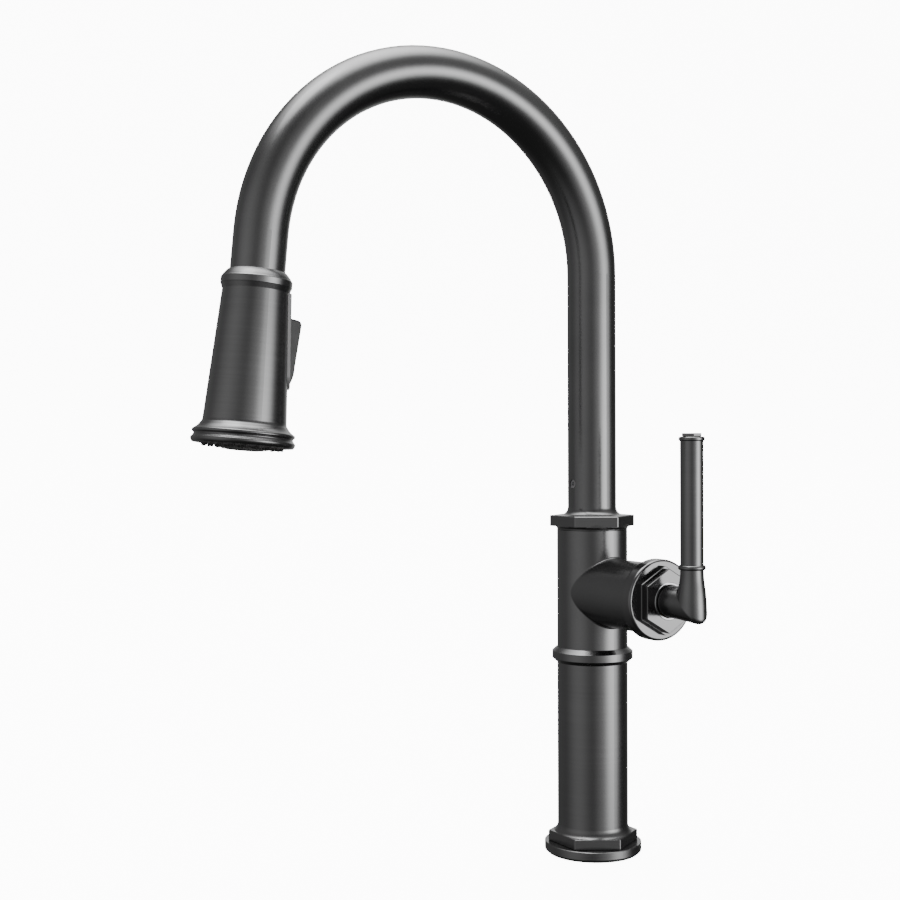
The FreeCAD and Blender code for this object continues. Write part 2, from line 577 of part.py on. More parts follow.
def make_lever():
    turned("lever_rod", [
        ("0", "rod_tail"), ("rod_r - 1", "rod_tail"), ("rod_r - 1", "flare_top"), ("rod_r", "flare_top"),
        ("rod_r", "rod_top"), ("0", "rod_top")], LEVER)
    turned("lever_ring", [
        ("rod_r", "ring_low"), ("rod_r + 0.6", "ring_low"), ("rod_r + 1.15", "ring_middle", "1.3", "left"),
        ("rod_r + 0.6", "ring_high", "1.3", "left"), ("rod_r", "ring_high")], LEVER)
    turned("lever_top_ring", [
        ("0", "rod_top"), ("rod_r", "rod_top"), ("rod_r + 0.75", "rod_top + 0.6", "0.9", "left"),
        ("rod_r + 0.75", "rod_top + 1.6"), ("rod_r", "rod_top + 2.2", "0.9", "left"),
        ("5", "rod_top + 2.4"), ("0", "rod_top + 2.4")], LEVER)
    cap = new_body("lever_cap", LEVER)
    hexagon(cap, "5.5", "rod_top + 2.4", "lever_top - rod_top - 2.4", 0.3)
    node(cap, "lever_cap")


# ---------------------------------------------------------------- spray head

def make_head():
    turned("hose_nut", ring("hose_r + bush_gap", "nut_r", "nut_start", "core_start"), HEAD)
    turned("head_collar", [
        ("neck_r + 0.3", "collar_start"), ("neck_r + 0.7", "collar_start"),
        ("head_collar_r - 0.2", "23.6", "16", "left"), ("head_collar_r", "24.2"),
        ("head_collar_r", "27"), ("shell_r_top + 0.1", "shell_start"), ("13", "shell_start"),
        ("13", "22.4"), ("neck_r + 0.3", "22.4")], HEAD)
    core = turn(new_body("head_core_turned", HEAD), [
        ("core_bore", "core_start"), ("keeper_bore", "core_start"), ("keeper_bore", "magnet_end"),
        ("head_spigot_r", "magnet_end"), ("head_spigot_r", "core_neck_end"),
        ("core_seat_r", "core_neck_end"), ("core_seat_r", "30"), ("body_core_r", "31"),
        ("body_core_r", "core_low_end"), ("18.8", "100"), ("21.6", "103"), ("21.6", "core_end"),
        ("chamber_r", "core_end"), ("chamber_r", "chamber_start"), ("core_bore", "30")])
    window = box(Vector(-8, -20, 38), Vector(8, -11.5, 78), HEAD)
    lug_way = box(Vector(-2.1, -14, 55), Vector(2.1, -5, 63), HEAD)
    node(cut(core, [window, lug_way], "head_core_shape"), "head_core")
    turned("spigot_keeper", ring("keeper_bore", "head_spigot_r", "magnet_start", "magnet_end"), HEAD)
    turned("check_valve", ring("check_bore", "core_bore", "check_start", "check_end"), HEAD)

    shell = turn(new_body("shell_turned", HEAD), [
        ("shell_r_top", "shell_start"), ("shell_r_low", "shell_end"),
        ("shell_r_low - shell_wall", "shell_end"), ("shell_r_top - shell_wall", "shell_start")])
    opening = box(Vector(-6.4, -30, 40.2), Vector(6.4, -8, 75.9), HEAD)
    node(cut(shell, [opening], "shell_shape"), "head_shell")
    turned("head_bell", [
        ("shell_r_low - shell_wall", "shell_end"), ("shell_r_low", "shell_end"),
        ("shell_r_low + 0.9", "97.6", "3.2", "right"), ("25.2", "100.7", "9", "right"),
        ("25.2", "102.8", "1.15", "left"), ("25.2", "103.9", "0.7", "right"),
        ("25.9", "104.9", "2", "right"), ("26.4", "105.6", "1", "left"), ("25.5", "head_end"),
        ("24.4", "head_end"), ("24.4", "105.4"), ("22", "105.4"), ("22", "102.6"),
        ("shell_r_low - shell_wall", "99.6")], HEAD)
    make_panel_and_button()
    make_face()


def make_panel_and_button():
    """The raised panel on the head's rear and the rocking button that picks stream or spray."""
    over = cone("shell_r_top + panel_rise", "shell_r_low + panel_rise", "shell_start", "shell_end", HEAD)
    under = cone("shell_r_top", "shell_r_low", "shell_start", "shell_end", HEAD)
    corners = [HEAD.multiply(Placement(Vector(across, 0, 70.6), Rotation(X_AXIS, 90)))
               for across in (-4, 4)]
    outline = combine("MultiFuse", [
        box(Vector(-11, -40, 29), Vector(11, 0, 70.6), HEAD),
        box(Vector(-4, -40, 29), Vector(4, 0, 77.6), HEAD),
        cylinder("7", "0", "40", corners[0]), cylinder("7", "0", "40", corners[1])])
    slot = box(Vector(-6.4, -40, 40.2), Vector(6.4, 0, 75.9), HEAD)
    panel = cut(combine("MultiCommon", [over, outline]), [under, slot], "panel_shape")
    node(panel, "button_panel")

    button = new_body("button_block", HEAD)
    sketch = new_sketch(button, "YZ_Plane")
    add_outline(sketch, [
        ("-14.6", "41"), ("-22", "41.7"), ("-24.4", "44.3", "2.6", "right"), ("-22.6", "66"),
        ("-20.4", "75.2", "18", "right"), ("-14.6", "75.2")])
    pad = button.newObject("PartDesign::Pad", "button_pad")
    pad.Profile = sketch
    pad.Length = 12
    pad.Midplane = True
    doc.recompute()
    lug = box(Vector(-1.5, -15, 57), Vector(1.5, -5.2, 59), HEAD)
    pin_at = HEAD.multiply(Placement(Vector(0, -17, measure("button_pivot")), Rotation(Y_AXIS, 90)))
    body = cut(combine("MultiFuse", [button, lug]), [
        cylinder("button_pin_r + %s" % CLEARANCE, "-8", "8", pin_at)], "toggle_shape")
    node(body, "toggle_button")
    node(cylinder("button_pin_r", "-6.4", "6.4", pin_at), "button_pin")
    turned("diverter_spool", [
        ("0", "spool_start"), ("spool_r", "spool_start"), ("spool_r", "button_pivot - 1.6"),
        ("spool_waist_r", "button_pivot - 1.6"), ("spool_waist_r", "button_pivot + 1.6"),
        ("spool_r", "button_pivot + 1.6"), ("spool_r", "spool_end"), ("0", "spool_end")], HEAD)


NOZZLE_RINGS = ((13.4, 12), (16.6, 16), (19.8, 20))     # radius and number of nozzles


def make_face():
    spots = [polar(str(radius), 360 * k / count) for radius, count in NOZZLE_RINGS for k in range(count)]
    plate = turn(new_body("spray_face", HEAD), [
        ("aerator_r", "core_end"), ("24.3", "core_end"), ("24.3", "107.6"), ("22.4", "108.1"),
        ("11.2", "108.6"), ("10.4", "110"), ("aerator_r", "110")])
    drill(plate, "nozzle_r", spots, "109", "4")
    node(plate, "spray_face")
    group("spray_nozzles", [cylinder("nozzle_r", "core_end", "nozzle_end", HEAD, spot) for spot in spots])
    turned("aerator", [
        ("0", "103"), ("6.9", "103"), ("6.9", "core_end"), ("aerator_r", "core_end"),
        ("aerator_r", "aerator_end - 0.7"), ("8", "aerator_end"), ("7", "aerator_end"), ("7", "109"),
        ("0", "109")], HEAD)


# ---------------------------------------------------------------- build, check and write

make_base()
make_column()
make_valve_body()
make_swivel()
make_spout()
make_cartridge()
make_cover()
make_handle()
make_head()
doc.recompute()

for item in doc.Objects:
    if "Invalid" in item.State or "Error" in item.State:
        raise RuntimeError("%s failed: %s" % (item.Label, item.State))
for piece in NODES:
    if piece.Shape.isNull() or not piece.Shape.isValid() or piece.Shape.Volume <= 0:
        raise RuntimeError("%s has no valid solid" % piece.Label)

os.makedirs("parts", exist_ok=True)
for piece in NODES:
    piece.Shape.exportStep("parts/%s.step" % piece.Label)
    print("%-18s %8.0f mm3, %d solid(s)" % (piece.Label, piece.Shape.Volume, len(piece.Shape.Solids)))
print("%d nodes" % len(NODES))
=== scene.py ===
"""Looks of the pull-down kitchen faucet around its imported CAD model. Metres, +Z up, origin on the deck."""
import json
import math

import bmesh
import bpy
from mathutils import Matrix, Vector


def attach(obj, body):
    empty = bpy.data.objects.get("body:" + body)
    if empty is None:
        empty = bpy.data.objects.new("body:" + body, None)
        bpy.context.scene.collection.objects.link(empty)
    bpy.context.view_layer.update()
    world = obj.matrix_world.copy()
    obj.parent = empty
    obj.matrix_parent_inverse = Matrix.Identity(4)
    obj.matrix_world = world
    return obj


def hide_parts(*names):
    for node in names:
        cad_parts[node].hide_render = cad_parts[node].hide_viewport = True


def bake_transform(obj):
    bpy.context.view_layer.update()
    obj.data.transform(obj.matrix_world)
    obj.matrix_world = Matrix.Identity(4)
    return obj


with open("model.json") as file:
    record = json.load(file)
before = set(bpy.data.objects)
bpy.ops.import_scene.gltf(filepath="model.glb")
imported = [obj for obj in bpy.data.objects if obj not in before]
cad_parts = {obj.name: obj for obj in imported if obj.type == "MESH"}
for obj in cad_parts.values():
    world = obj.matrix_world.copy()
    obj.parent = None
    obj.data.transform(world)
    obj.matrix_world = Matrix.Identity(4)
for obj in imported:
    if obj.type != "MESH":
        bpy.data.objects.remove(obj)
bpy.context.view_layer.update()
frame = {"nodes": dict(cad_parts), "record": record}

MM = 0.001
ARC_RADIUS = 104 * MM           # gooseneck bend, on its centreline
ARC_DEGREES = 174.4
STRAIGHT_TOP = 334 * MM         # where the bend starts
VALVE_LEVEL = 151.5 * MM

arc = math.radians(ARC_DEGREES)
ARC_END = Vector((0, ARC_RADIUS * (math.cos(arc) - 1), STRAIGHT_TOP + ARC_RADIUS * math.sin(arc)))
# Frames whose local Z is the axis that a group of round pieces is turned on.
COLUMN = Matrix.Identity(4)
VALVE = Matrix.Translation((0, 0, VALVE_LEVEL)) @ Matrix.Rotation(math.pi / 2, 4, "Y")
HEAD = Matrix.Translation(ARC_END) @ Matrix.Rotation(arc, 4, "X")


# ---------------------------------------------------------------- materials

def new_finish(name, uniform):
    """A material and its shader, with the shader's uniform socket values."""
    made = bpy.data.materials.new(name)
    made.use_nodes = True
    shader = made.node_tree.nodes["Principled BSDF"]
    for socket, value in uniform.items():
        shader.inputs[socket].default_value = value
    return made, shader


def add_node(tree, kind, inputs=None, **settings):
    """A shader node with its settings; inputs are values, or sockets to link from."""
    node = tree.nodes.new("ShaderNode" + kind)
    for name, value in settings.items():
        setattr(node, name, value)
    for name, value in (inputs or {}).items():
        if isinstance(value, bpy.types.NodeSocket):
            tree.links.new(value, node.inputs[name])
        else:
            node.inputs[name].default_value = value
    return node


def place_in(tree, at, size):
    """Object coordinates in the frame 'at', divided by the size of a feature along each local axis."""
    where = add_node(tree, "TexCoord")
    return add_node(tree, "Mapping", {
        "Vector": where.outputs["Object"], "Location": at.to_translation(),
        "Rotation": at.to_euler(), "Scale": size}, vector_type="TEXTURE").outputs[0]


def noise(tree, at, size, detail=2.0, rough=0.5):
    """Noise between 0 and 1 whose features have this size in metres along each axis of 'at'."""
    return add_node(tree, "TexNoise", {
        "Vector": place_in(tree, at, size), "Scale": 1.0, "Detail": detail,
        "Roughness": rough}).outputs["Fac"]


def spread(tree, value, low, high):
    """Maps the middle of a noise's range to low..high."""
    return add_node(tree, "MapRange", {
        "Value": value, "From Min": 0.3, "From Max": 0.7, "To Min": low, "To Max": high}).outputs[0]


def mix_colours(tree, share, first, second):
    mixed = add_node(tree, "Mix", {"Factor": share}, data_type="RGBA")
    for socket, colour in ((6, first), (7, second)):
        mixed.inputs[socket].default_value = (*colour, 1)
    return mixed.outputs[2]


def average(tree, first, second, weight):
    """The first value, with this weight of the second."""
    return add_node(tree, "Mix", {0: weight, 2: first, 3: second}, data_type="FLOAT").outputs[0]


def bump(tree, height, depth):
    return add_node(tree, "Bump", {"Height": height, "Strength": 1.0, "Distance": depth}).outputs[0]


def wire(tree, shader, colour, roughness, normal):
    """Links these three sockets to the shader."""
    for name, value in (("Base Color", colour), ("Roughness", roughness), ("Normal", normal)):
        tree.links.new(value, shader.inputs[name])


# How far the roughness of each kind of finish varies to each side.
BRUSHED_VARIES, METAL_VARIES, MOULDED_VARIES = 0.025, 0.02, 0.05


def brushed_metal(name, at, dark, light, roughness, line=0.25 * MM, line_depth=0.0012 * MM):
    """Satin metal whose fine brushing runs round the Z axis of 'at'."""
    made, shader = new_finish(name, {"Metallic": 1.0})
    tree = made.node_tree
    lines = noise(tree, at, (30 * MM, 30 * MM, line), 3.0, 0.6)
    bands = noise(tree, at, (60 * MM, 60 * MM, 2.2 * MM), 2.0)
    cloud = noise(tree, at, (18 * MM, 18 * MM, 26 * MM), 3.0)
    grain = average(tree, lines, bands, 0.4)
    tone = average(tree, grain, cloud, 0.35)
    wire(tree, shader, mix_colours(tree, spread(tree, tone, 0.0, 1.0), dark, light),
         spread(tree, tone, roughness - BRUSHED_VARIES, roughness + BRUSHED_VARIES),
         bump(tree, lines, line_depth))
    return made


def satin_metal(name, dark, light, roughness, speck=0.6 * MM, depth=0.001 * MM):
    """Metal with an even blasted surface and faint clouds."""
    made, shader = new_finish(name, {"Metallic": 1.0})
    tree = made.node_tree
    fine = noise(tree, COLUMN, (speck, speck, speck), 2.0)
    cloud = noise(tree, COLUMN, (22 * MM, 22 * MM, 22 * MM), 3.0)
    tone = average(tree, fine, cloud, 0.5)
    wire(tree, shader, mix_colours(tree, spread(tree, tone, 0.0, 1.0), dark, light),
         spread(tree, tone, roughness - METAL_VARIES, roughness + METAL_VARIES),
         bump(tree, fine, depth))
    return made


def moulded(name, dark, light, roughness, speck=0.35 * MM, depth=0.012 * MM):
    """Plastic, rubber or ceramic with a fine moulded grain and faint patches."""
    made, shader = new_finish(name, {"Metallic": 0.0, "IOR": 1.5})
    tree = made.node_tree
    grain = noise(tree, COLUMN, (speck, speck, speck), 3.0)
    patch = noise(tree, COLUMN, (9 * MM, 9 * MM, 9 * MM), 3.0)
    tone = average(tree, grain, patch, 0.5)
    wire(tree, shader, mix_colours(tree, spread(tree, tone, 0.0, 1.0), dark, light),
         spread(tree, patch, roughness - MOULDED_VARIES, roughness + MOULDED_VARIES),
         bump(tree, grain, depth))
    return made


def braided_sleeve(name, dark, light, strands=12, pitch=9 * MM, depth=0.3 * MM):
    """Woven nylon: two sets of helical strands round the head's axis."""
    twist = strands * 2 * math.pi / pitch / 4
    made, shader = new_finish(name, {"Metallic": 0.0, "Sheen Weight": 0.3})
    tree = made.node_tree
    parts = add_node(tree, "SeparateXYZ", {0: place_in(tree, HEAD, (1, 1, 1))})
    angle = add_node(tree, "Math", {0: parts.outputs[1], 1: parts.outputs[0]}, operation="ARCTAN2")
    around = add_node(tree, "Math", {0: angle.outputs[0], 1: float(strands)}, operation="MULTIPLY")
    waves = []
    for turn in (1, -1):
        along = add_node(tree, "Math", {0: parts.outputs[2], 1: turn * twist}, operation="MULTIPLY")
        both = add_node(tree, "Math", {0: around.outputs[0], 1: along.outputs[0]}, operation="ADD")
        waves.append(add_node(tree, "Math", {0: both.outputs[0]}, operation="SINE").outputs[0])
    weave = add_node(tree, "Math", {0: waves[0], 1: waves[1]}, operation="MAXIMUM").outputs[0]
    height = add_node(tree, "MapRange", {"Value": weave, "From Min": -1.0, "From Max": 1.0}).outputs[0]
    fibre = noise(tree, HEAD, (0.25 * MM, 0.25 * MM, 1.2 * MM), 3.0)
    wire(tree, shader, mix_colours(tree, average(tree, height, fibre, 0.35), dark, light),
         spread(tree, fibre, 0.45, 0.65), bump(tree, height, depth))
    return made


GUNMETAL_DARK, GUNMETAL_LIGHT = (0.165, 0.165, 0.166), (0.20, 0.20, 0.201)
GUNMETAL_ROUGHNESS = 0.24

# One metal in three finishes: brushed round the column, brushed round the spray head, and blasted.
gunmetal = {
    "column": brushed_metal("gunmetal_column", COLUMN, GUNMETAL_DARK, GUNMETAL_LIGHT, GUNMETAL_ROUGHNESS),
    "head": brushed_metal("gunmetal_head", HEAD, GUNMETAL_DARK, GUNMETAL_LIGHT, GUNMETAL_ROUGHNESS,
                          line=0.45 * MM, line_depth=0.0025 * MM),
    "blasted": satin_metal("gunmetal_bend", GUNMETAL_DARK, GUNMETAL_LIGHT, GUNMETAL_ROUGHNESS),
}
finishes = {
    "gunmetal": gunmetal["column"],
    "black_plastic": moulded("black_plastic", (0.016, 0.016, 0.017), (0.026, 0.026, 0.027), 0.42),
    "brass": brushed_metal("brass", COLUMN, (0.56, 0.38, 0.15), (0.68, 0.48, 0.21), 0.3),
    "copper": brushed_metal("copper", COLUMN, (0.62, 0.27, 0.15), (0.74, 0.36, 0.22), 0.32),
    "rubber": moulded("rubber", (0.014, 0.014, 0.014), (0.026, 0.026, 0.026), 0.58),
    "ceramic": moulded("ceramic", (0.74, 0.72, 0.66), (0.84, 0.82, 0.77), 0.22, depth=0.002 * MM),
    "magnet": satin_metal("magnet", (0.30, 0.30, 0.31), (0.37, 0.37, 0.38), 0.28),
    "steel": brushed_metal("steel", HEAD, (0.42, 0.42, 0.43), (0.52, 0.52, 0.53), 0.3),
    "aerator_plastic": moulded("aerator_plastic", (0.030, 0.030, 0.031), (0.046, 0.046, 0.047), 0.45),
    "braid": braided_sleeve("braid", (0.012, 0.012, 0.013), (0.11, 0.11, 0.115)),
}
# Nodes that look different from the rest of their slot.
own_finishes = {
    "gooseneck_tube": gunmetal["blasted"],
    "valve_body": gunmetal["blasted"],
    "head_shell": gunmetal["head"],
    # The cover ring is the same gunmetal with a much lighter colour, a painted sheen; only its lower
    # roughness is real polish.
    "cover_ring": brushed_metal("ring_painted_sheen", VALVE, (0.40, 0.40, 0.41), (0.48, 0.48, 0.49), 0.18),
    "valve_cover": brushed_metal("cover_metal", VALVE, GUNMETAL_DARK, GUNMETAL_LIGHT, 0.15,
                                 line_depth=0.0006 * MM),
    "button_panel": moulded("panel_grey", (0.20, 0.20, 0.20), (0.26, 0.26, 0.26), 0.36),
    "spray_face": moulded("face_grey", (0.085, 0.085, 0.086), (0.12, 0.12, 0.121), 0.5),
}


def dress(piece, material):
    """Gives every face of the piece this material."""
    piece.data.materials.clear()
    piece.data.materials.append(material)


for row in frame["record"]["subparts"]:
    material = own_finishes.get(row["node"], finishes[row["material_slot"]])
    dress(frame["nodes"][row["node"]], material)


# ---------------------------------------------------------------- pieces

WELD = 0.0001 * MM              # vertices closer than this are joined


def add_mesh(name, filled, material):
    """A smooth object made from a filled bmesh, which is freed."""
    data = bpy.data.meshes.new(name)
    filled.to_mesh(data)
    filled.free()
    data.shade_smooth()
    added = bpy.data.objects.new(name, data)
    bpy.context.scene.collection.objects.link(added)
    dress(added, material)
    return added


def new_piece(name, mesh_maker, body, slot, node, material=None, smooth_below=40):
    """A mesh piece that stands for a CAD node: mesh_maker fills a bmesh in the row frame. A piece without
    a body is left for the caller to attach."""
    made = bmesh.new()
    mesh_maker(made)
    bmesh.ops.remove_doubles(made, verts=made.verts, dist=WELD)
    bmesh.ops.recalc_face_normals(made, faces=made.faces)
    piece = add_mesh(name, made, material or finishes[slot])
    piece.data.set_sharp_from_angle(angle=math.radians(smooth_below))
    if body:
        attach(piece, body)
    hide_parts(node)
    return piece


def ring(mesh, radius, height, at, steps):
    """Vertices on a circle round the Z axis of 'at'."""
    return [mesh.verts.new(at @ Vector((radius * math.cos(2 * math.pi * k / steps),
                                        radius * math.sin(2 * math.pi * k / steps), height)))
            for k in range(steps)]


def lathe(mesh, outline, at, steps):
    """A closed turned solid: outline of (radius, height) about the Z axis of 'at'; radius 0 is the axis."""
    rings = [ring(mesh, radius, height, at, steps if radius > 0 else 1) for radius, height in outline]
    for below, above in zip(rings, rings[1:] + rings[:1]):
        if len(below) == 1 and len(above) == 1:
            continue
        for k in range(steps):
            corners = [below[k % len(below)], below[(k + 1) % len(below)],
                       above[(k + 1) % len(above)], above[k % len(above)]]
            mesh.faces.new(list(dict.fromkeys(corners)))


def rounded_outline(outline, steps=8):
    """Points in metres of an outline in millimetres. An item is (x, y), with (radius, side) added where an
    arc leads to it; the side is the one its centre is on."""
    points = []
    for index, item in enumerate(outline):
        finish = Vector(item[:2])
        if len(item) == 4:
            start = Vector(outline[index - 1][:2])
            chord = finish - start
            left = Vector((-chord.y, chord.x)).normalized() * (1 if item[3] == "left" else -1)
            centre = (start + finish) / 2 + left * math.sqrt(item[2] ** 2 - chord.length_squared / 4)
            sweep = (start - centre).angle_signed(finish - centre)
            points += [centre + Matrix.Rotation(-sweep * k / steps, 2) @ (start - centre)
                       for k in range(1, steps)]
        points.append(finish)
    return [(point.x * MM, point.y * MM) for point in points]


def tube_along(mesh, rings, radius, steps=32):
    """A closed round rod through the frames in 'rings'."""
    loops = [ring(mesh, radius, 0, at, steps) for at in rings]
    for below, above in zip(loops, loops[1:]):
        for k in range(steps):
            mesh.faces.new((below[k], below[(k + 1) % steps], above[(k + 1) % steps], above[k]))
    mesh.faces.new(loops[0][::-1])
    mesh.faces.new(loops[-1])


HOSE_RADIUS = 4.75 * MM
HOSE_TAIL = 9 * MM              # the hose's end, past the end of the bend
COLUMN_STEPS, BEND_STEPS, TAIL_STEPS = 60, 150, 9
FED_RINGS = 22                  # rings of the last part of the hose, which feeds the pull-down


def hose_rings():
    """Frames along the hose: up the column, round the bend and on to the hose nut."""
    rings = [Matrix.Translation((0, 0, STRAIGHT_TOP * k / COLUMN_STEPS)) for k in range(COLUMN_STEPS)]
    for k in range(BEND_STEPS + 1):
        angle = arc * k / BEND_STEPS
        centre = Vector((0, ARC_RADIUS * (math.cos(angle) - 1), STRAIGHT_TOP + ARC_RADIUS * math.sin(angle)))
        rings.append(Matrix.Translation(centre) @ Matrix.Rotation(angle, 4, "X"))
    return rings + [HEAD @ Matrix.Translation((0, 0, HOSE_TAIL * k / TAIL_STEPS))
                    for k in range(1, TAIL_STEPS + 1)]


def make_hose():
    """One piece stays in the spout, and a short one stretches between the spout and the head."""
    rings = hose_rings()
    for name, part, body in (("braided_hose", rings[:1 - FED_RINGS], "spout"),
                             ("braided_hose_end", rings[-FED_RINGS:], None)):
        hose = new_piece(name, lambda mesh: tube_along(mesh, part, HOSE_RADIUS), body, "braid",
                         "pull_out_hose")
    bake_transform(hose)


NOZZLE_RINGS = ((13.4 * MM, 12), (16.6 * MM, 16), (19.8 * MM, 20))      # radius and count
# One nozzle from its base over its lip and down the hole: radius and distance along the head.
NOZZLE_OUTLINE = [
    (0, 105.4), (0.93, 105.4), (0.93, 108.3), (0.85, 108.7), (0.7, 109.25), (0.6, 109.4), (0.4, 109.4),
    (0.33, 109.25), (0.3, 108), (0, 108)]
NOZZLE_STEPS = 16


def nozzle_mesh(mesh):
    """Soft rubber nozzles, each a tapered tip with a hole."""
    outline = rounded_outline(NOZZLE_OUTLINE)
    for radius, count in NOZZLE_RINGS:
        for k in range(count):
            turn = Matrix.Rotation(2 * math.pi * k / count, 4, "Z")
            lathe(mesh, outline, HEAD @ turn @ Matrix.Translation((radius, 0, 0)), NOZZLE_STEPS)


def make_nozzles():
    new_piece("rubber_nozzles", nozzle_mesh, "spray_head", "rubber", "spray_nozzles")


# Turned pieces of the spray head: radius and distance along its axis, in millimetres.
BELL_OUTLINE = [
    (19.5, 95.5), (21.1, 95.5), (22.0, 97.6, 3.2, "right"), (25.2, 100.7, 9, "right"),
    (25.2, 102.8, 1.15, "left"), (25.2, 103.9, 0.7, "right"), (25.9, 104.9, 2, "right"),
    (26.3, 105.6, 1, "left"), (25.5, 107.6, 2.8, "left"), (25.2, 107.8, 0.5, "left"), (24.4, 107.8),
    (24.4, 105.4), (22, 105.4), (22, 102.6), (19.5, 99.6)]
COLLAR_OUTLINE = [
    (14.3, 19.6), (14.7, 19.6), (17.9, 23.6, 16, "left"), (18.1, 24.2, 0.6, "left"), (18.1, 26.8),
    (17.9, 27.2, 0.5, "left"), (17.05, 29.6), (13, 29.6), (13, 22.4), (14.3, 22.4)]
TURNED_PARTS = {"bell": ("head_bell", BELL_OUTLINE), "top_collar": ("head_collar", COLLAR_OUTLINE)}
TURNED_STEPS = 160


def make_turned_parts():
    """Smooth versions of the bell and the collar of the spray head."""
    for name, (node, outline) in TURNED_PARTS.items():
        new_piece(name, lambda mesh: lathe(mesh, rounded_outline(outline), HEAD, TURNED_STEPS),
                  "spray_head", "gunmetal", node, gunmetal["blasted"], 30)


AERATOR_OUTLINE = [
    (0, 103), (6.9, 103), (6.9, 105.4), (8.7, 105.4), (8.7, 109.5), (7.9, 110.3, 0.8, "left"), (7.2, 110.3),
    (6.8, 109.9, 0.4, "left"), (6.8, 108.2), (0, 108.2)]
SCREEN_PITCH, SCREEN_BAR, SCREEN_RADIUS = 1.5 * MM, 0.16 * MM, 6.85 * MM
SCREEN_LOW, SCREEN_HIGH = 108.9 * MM, 109.5 * MM
SCREEN_BARS_EACH_SIDE = 4
AERATOR_STEPS = 64


def aerator_mesh(mesh):
    """The centre insert: a cup with a square screen across its mouth."""
    lathe(mesh, rounded_outline(AERATOR_OUTLINE), HEAD, AERATOR_STEPS)
    middle = (SCREEN_LOW + SCREEN_HIGH) / 2
    for turn in (0, math.pi / 2):
        for k in range(-SCREEN_BARS_EACH_SIDE, SCREEN_BARS_EACH_SIDE + 1):
            across = k * SCREEN_PITCH
            half = math.sqrt(SCREEN_RADIUS ** 2 - across ** 2)
            size = Matrix.Diagonal((2 * half, 2 * SCREEN_BAR, SCREEN_HIGH - SCREEN_LOW, 1))
            at = HEAD @ Matrix.Rotation(turn, 4, "Z") @ Matrix.Translation((0, across, middle))
            bmesh.ops.create_cube(mesh, size=1, matrix=at @ size)


def make_aerator():
    new_piece("aerator_insert", aerator_mesh, "spray_head", "aerator_plastic", "aerator", smooth_below=30)


# The rocking button's side: across the head (its rear is negative) and along it, in millimetres.
BUTTON_OUTLINE = [
    (-14.6, 41), (-22, 41.7), (-24.4, 44.3, 2.6, "right"), (-22.6, 66), (-20.4, 75.2, 18, "right"),
    (-14.6, 75.2)]
BUTTON_HALF_WIDTH = 6 * MM
BUTTON_ROUNDING, ROUNDING_STEPS = 0.9 * MM, 5
BUTTON_ARC_STEPS = 10


def button_mesh(mesh):
    """The button's side outline pushed through its width, with soft edges."""
    side = rounded_outline(BUTTON_OUTLINE, BUTTON_ARC_STEPS)
    faces = [[mesh.verts.new(HEAD @ Vector((x, y, along))) for y, along in side]
             for x in (-BUTTON_HALF_WIDTH, BUTTON_HALF_WIDTH)]
    mesh.faces.new(faces[0])
    mesh.faces.new(faces[1][::-1])
    for k in range(len(side)):
        mesh.faces.new((faces[0][k - 1], faces[0][k], faces[1][k], faces[1][k - 1]))
    bmesh.ops.recalc_face_normals(mesh, faces=mesh.faces)
    rims = [edge for edge in mesh.edges if len({vertex in faces[0] for vertex in edge.verts}) == 1]
    bmesh.ops.bevel(mesh, geom=rims, offset=BUTTON_ROUNDING, segments=ROUNDING_STEPS, affect="EDGES",
                    profile=0.5, clamp_overlap=True)


def make_button():
    new_piece("rocker_button", button_mesh, "toggle", "black_plastic", "toggle_button")


# The handle's elbow: a stem along X from the cartridge, mitred into a flare that rises to the lever.
PIVOT_X, LEVER_X = 69.9 * MM, 87.8 * MM
STEM_RADIUS = 8.75 * MM
STEM_BACK = 4 * MM              # the stem's rounded end reaches this far behind the pivot
STEM_BORE, BORE_DEPTH = 6.1 * MM, 4.2 * MM      # radius, and depth past the pivot, of the bore inside
STEM_STRAIGHT = 78.5 * MM       # the stem is straight up to here, clear of the cover's ring
MITRE_HALF_WIDTH = 8.0 * MM
MITRE_SLOPE = 0.93              # how far the mitre runs outwards for each step down
MITRE_DROP = 1.4 * MM           # how far the elbow's heel hangs below the stem
SOFT_CREASE, SOFT_HEEL = 0.25 * MM, 3.1 * MM    # rounding of the mitre's top, and more at the heel
# The flare below the lever: height and radius in millimetres, from the top down.
FLARE = [(169.5, 6.17), (166, 6.35), (163, 6.65), (160, 7.1), (156.5, 7.5), (153, 7.75), (149, 7.95),
         (143, 8.15)]
FLARE_TOP = FLARE[0][0] * MM
END_STEPS, STEM_STEPS, MITRE_STEPS, FLARE_STEPS = 6, 6, 8, 14
FLARE_KEPT = 11                 # flare points each line keeps above the mitre
MITRE_GAP = 0.5 * MM            # the least height between the mitre and the next flare point
MITRE_AIM = 3                   # the mitre's rounding leads towards this flare point
ELBOW_SIDES = 96


def flare_radius(height):
    for (top, small), (low, large) in zip(FLARE, FLARE[1:]):
        if height >= low * MM:
            return (small + (large - small) * (top * MM - height) / ((top - low) * MM)) * MM
    return FLARE[-1][1] * MM


def around_stem(x, radius, side, up):
    """A point round the stem's axis."""
    return Vector((x, radius * side, VALVE_LEVEL + radius * up))


def flare_points(corner):
    """From the mitre's corner up to the lever: the corner's own distance fades into the flare's radius."""
    about = math.atan2(corner.y, corner.x - LEVER_X)
    out = corner.xy - Vector((LEVER_X, 0))
    excess = out.length - flare_radius(corner.z)
    points = []
    for k in range(1, FLARE_STEPS + 1):
        share = k / FLARE_STEPS
        height = corner.z + (FLARE_TOP - corner.z) * share
        radius = flare_radius(height) + excess * (1 - share) ** 3
        points.append(Vector((LEVER_X + radius * math.cos(about), radius * math.sin(about), height)))
    return points


